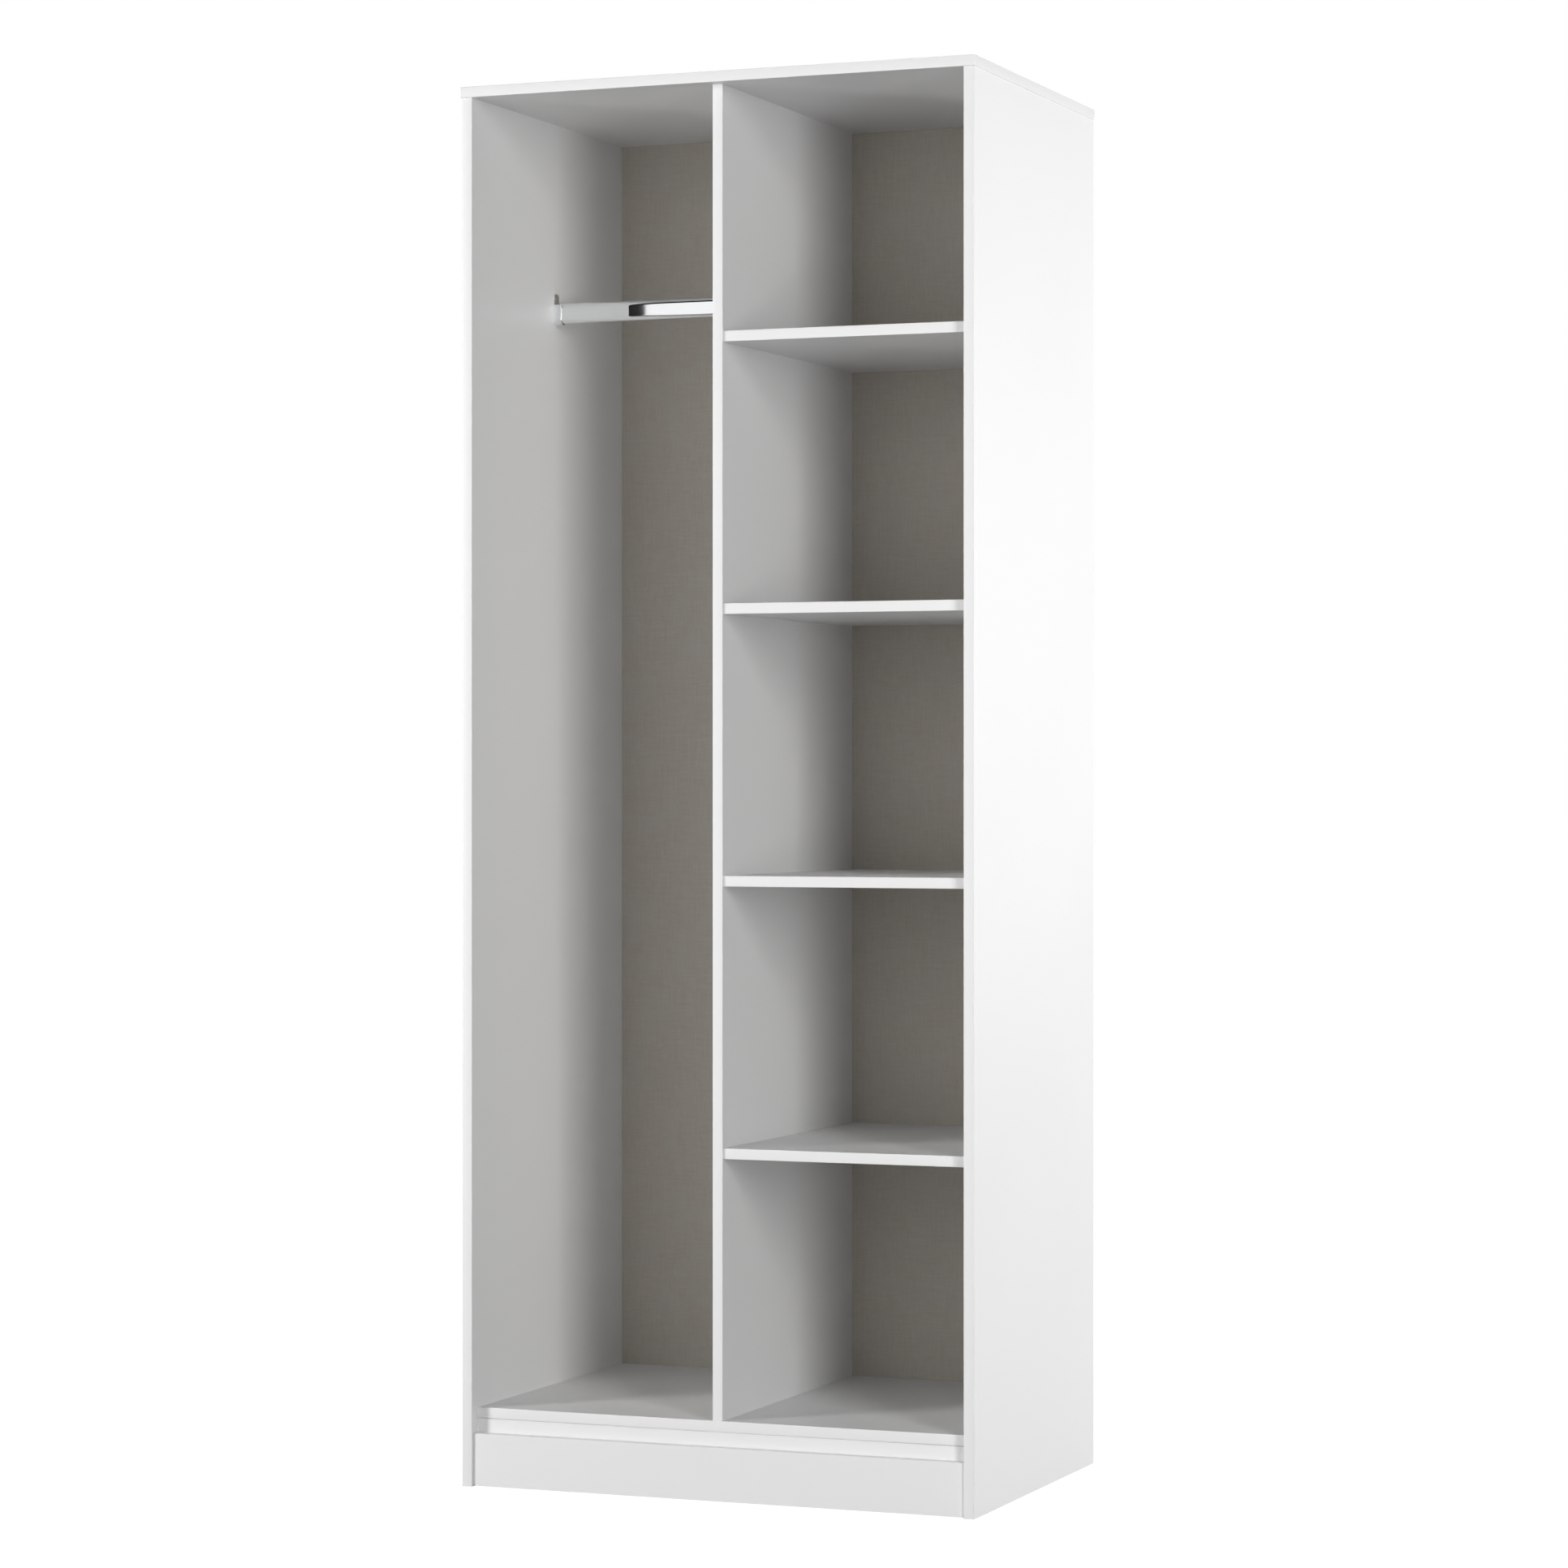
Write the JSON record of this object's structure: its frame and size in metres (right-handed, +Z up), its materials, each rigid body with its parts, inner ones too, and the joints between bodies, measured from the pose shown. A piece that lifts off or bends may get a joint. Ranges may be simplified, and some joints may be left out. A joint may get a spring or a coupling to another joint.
{
  "type": "open wardrobe",
  "caption": "Open wardrobe carcass with a hanging bay and lift-out rail on the left, and stacked fixed shelves on the right.",
  "frame": {"origin": "middle of the footprint at floor level", "axes": "+Z up, -Y towards the open front, +X towards the shelf bay"},
  "size_m": [0.765, 0.53, 1.97],
  "materials": {
    "white_board": "satin white melamine on chipboard",
    "edging": "satin white edging strip",
    "linen_back": "matte taupe linen print on thin fibreboard",
    "block_pine": "bare softwood",
    "dowel_beech": "bare beech",
    "chrome": "polished",
    "screw_steel": "zinc plated",
    "glide_plastic": "moulded"
  },
  "bodies": {
    "carcass": {"top_panel": "white_board", "left_side_panel": "white_board", "right_side_panel": "white_board", "centre_divider": "white_board", "bottom_panel": "white_board", "shelf_1": "white_board", "shelf_2": "white_board", "shelf_3": "white_board", "shelf_4": "white_board", "back_panel": "linen_back", "plinth_board": "white_board", "front_sub_rail": "white_board", "rear_kick_rail": "white_board", "centre_bearer": "white_board", "corner_blocks": "block_pine", "left_rail_socket": "chrome", "right_rail_socket": "chrome", "socket_screws": "screw_steel", "plinth_screws": "screw_steel", "top_panel_dowels": "dowel_beech", "bottom_panel_dowels": "dowel_beech", "divider_dowels": "dowel_beech", "shelf_dowels": "dowel_beech", "base_rail_dowels": "dowel_beech", "back_panel_pins": "screw_steel", "foot_glides": "glide_plastic", "top_panel_edging": "edging", "side_panel_edging": "edging", "divider_edging": "edging", "bottom_panel_edging": "edging", "shelf_edging": "edging", "plinth_edging": "edging"},
    "rail": {"hanging_rail": "chrome"}
  },
  "joints": [
    {"name": "rail_lift", "type": "slide", "parent": "carcass", "child": "rail", "axis": [0, 0, 1], "range_m": [0, 0.06]}
  ]
}
